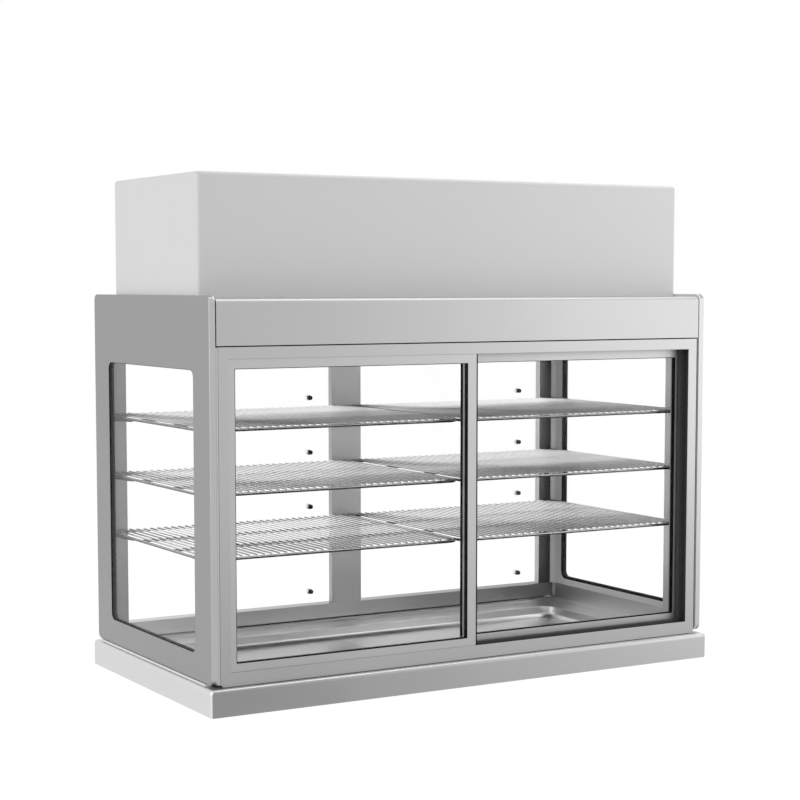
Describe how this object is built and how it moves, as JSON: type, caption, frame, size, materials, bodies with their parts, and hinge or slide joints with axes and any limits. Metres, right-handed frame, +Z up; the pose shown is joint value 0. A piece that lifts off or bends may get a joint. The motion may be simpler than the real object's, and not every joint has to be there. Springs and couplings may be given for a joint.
{
  "type": "multideck refrigerated display cabinet",
  "caption": "Counter-top refrigerated display with glazed sliding service doors, wire shelves, clear customer flaps and a top-mounted cooling unit.",
  "frame": {"origin": "centre of the base on the surface that it stands on", "axes": "+X along the width, to the right of someone facing the sliding doors; +Y from the sliding doors to the customer flaps; +Z up"},
  "size_m": [1.2, 0.618, 1.0393],
  "materials": {
    "steel": "fine brushed stainless sheet",
    "steel_light": "fine brushed stainless strip",
    "dark_steel": "dark satin paint",
    "painted_silver": "light silver-grey satin paint",
    "aluminium_frame": "satin anodised",
    "black_seal": "matt black gasket",
    "black_plastic": "matt moulded",
    "dark_plastic": "dark grey extruded",
    "white_plastic": "low-friction slider plastic",
    "clear_glass": "clear float glass",
    "clear_acrylic": "clear acrylic sheet",
    "chrome_wire": "bright plated wire",
    "knob_metal": "satin turned",
    "black_paint": "semi-gloss black",
    "fins": "plain fin stock"
  },
  "bodies": {
    "cabinet": {"base_skirt": "steel", "floor_pan": "steel", "side_panel_left": "steel", "side_panel_right": "steel", "side_gaskets": "black_seal", "side_glass": "clear_glass", "foot_strips": "steel_light", "header": "steel", "roof_deck": "steel", "ceiling_liner": "steel", "rear_header": "steel", "upper_housing": "painted_silver", "cable_gland": "black_plastic", "door_frame": "aluminium_frame", "frame_packers": "black_plastic", "door_tracks": "dark_plastic", "jamb_seals": "dark_plastic", "rear_post_left": "steel", "rear_post_right": "steel", "centre_post": "steel", "rear_sill": "steel", "corner_trim": "steel", "shelf_brackets": "dark_steel", "flap_lugs": "steel", "evaporator": "fins", "compressor": "black_paint", "condenser": "fins", "fan_mounts": "black_plastic", "shelf_left_low": "chrome_wire", "shelf_left_middle": "chrome_wire", "shelf_left_high": "chrome_wire", "shelf_right_low": "chrome_wire", "shelf_right_middle": "chrome_wire", "shelf_right_high": "chrome_wire"},
    "front_door": {"front_door_frame": "aluminium_frame", "front_door_seal": "black_seal", "front_door_glass": "clear_glass", "front_door_glides": "white_plastic"},
    "rear_door": {"rear_door_frame": "aluminium_frame", "rear_door_seal": "black_seal", "rear_door_glass": "clear_glass", "rear_door_glides": "white_plastic"},
    "evaporator_rotor": {"evaporator_fan": "black_plastic"},
    "condenser_rotor": {"condenser_fan": "black_plastic"},
    "left_bottom_flap": {"flap_left_bottom": "clear_acrylic", "knob_left_bottom": "knob_metal"},
    "left_low_flap": {"flap_left_low": "clear_acrylic", "knob_left_low": "knob_metal"},
    "left_middle_flap": {"flap_left_middle": "clear_acrylic", "knob_left_middle": "knob_metal"},
    "left_high_flap": {"flap_left_high": "clear_acrylic", "knob_left_high": "knob_metal"},
    "right_bottom_flap": {"flap_right_bottom": "clear_acrylic", "knob_right_bottom": "knob_metal"},
    "right_low_flap": {"flap_right_low": "clear_acrylic", "knob_right_low": "knob_metal"},
    "right_middle_flap": {"flap_right_middle": "clear_acrylic", "knob_right_middle": "knob_metal"},
    "right_high_flap": {"flap_right_high": "clear_acrylic", "knob_right_high": "knob_metal"}
  },
  "joints": [
    {"name": "front_door_slide", "type": "slide", "parent": "cabinet", "child": "front_door", "axis": [1, 0, 0], "range_m": [0, 0.52]},
    {"name": "rear_door_slide", "type": "slide", "parent": "cabinet", "child": "rear_door", "axis": [-1, 0, 0], "range_m": [0, 0.52]},
    {"name": "evaporator_fan_spin", "type": "hinge", "parent": "cabinet", "child": "evaporator_rotor", "pos_m": [0, 0.00625, 0.72], "axis": [0, 0, 1], "continuous": true},
    {"name": "condenser_fan_spin", "type": "hinge", "parent": "cabinet", "child": "condenser_rotor", "pos_m": [0.28875, -0.0415, 0.8918], "axis": [0, 1, 0], "continuous": true},
    {"name": "left_bottom_flap_hinge", "type": "hinge", "parent": "cabinet", "child": "left_bottom_flap", "pos_m": [-0.2865, 0.285, 0.2858], "axis": [1, 0, 0], "range_deg": [0, 80]},
    {"name": "left_low_flap_hinge", "type": "hinge", "parent": "cabinet", "child": "left_low_flap", "pos_m": [-0.2865, 0.285, 0.411], "axis": [1, 0, 0], "range_deg": [0, 80]},
    {"name": "left_middle_flap_hinge", "type": "hinge", "parent": "cabinet", "child": "left_middle_flap", "pos_m": [-0.2865, 0.285, 0.5362], "axis": [1, 0, 0], "range_deg": [0, 80]},
    {"name": "left_high_flap_hinge", "type": "hinge", "parent": "cabinet", "child": "left_high_flap", "pos_m": [-0.2865, 0.285, 0.6575], "axis": [1, 0, 0], "range_deg": [0, 80]},
    {"name": "right_bottom_flap_hinge", "type": "hinge", "parent": "cabinet", "child": "right_bottom_flap", "pos_m": [0.2865, 0.285, 0.2858], "axis": [1, 0, 0], "range_deg": [0, 80]},
    {"name": "right_low_flap_hinge", "type": "hinge", "parent": "cabinet", "child": "right_low_flap", "pos_m": [0.2865, 0.285, 0.411], "axis": [1, 0, 0], "range_deg": [0, 80]},
    {"name": "right_middle_flap_hinge", "type": "hinge", "parent": "cabinet", "child": "right_middle_flap", "pos_m": [0.2865, 0.285, 0.5362], "axis": [1, 0, 0], "range_deg": [0, 80]},
    {"name": "right_high_flap_hinge", "type": "hinge", "parent": "cabinet", "child": "right_high_flap", "pos_m": [0.2865, 0.285, 0.6575], "axis": [1, 0, 0], "range_deg": [0, 80]}
  ]
}
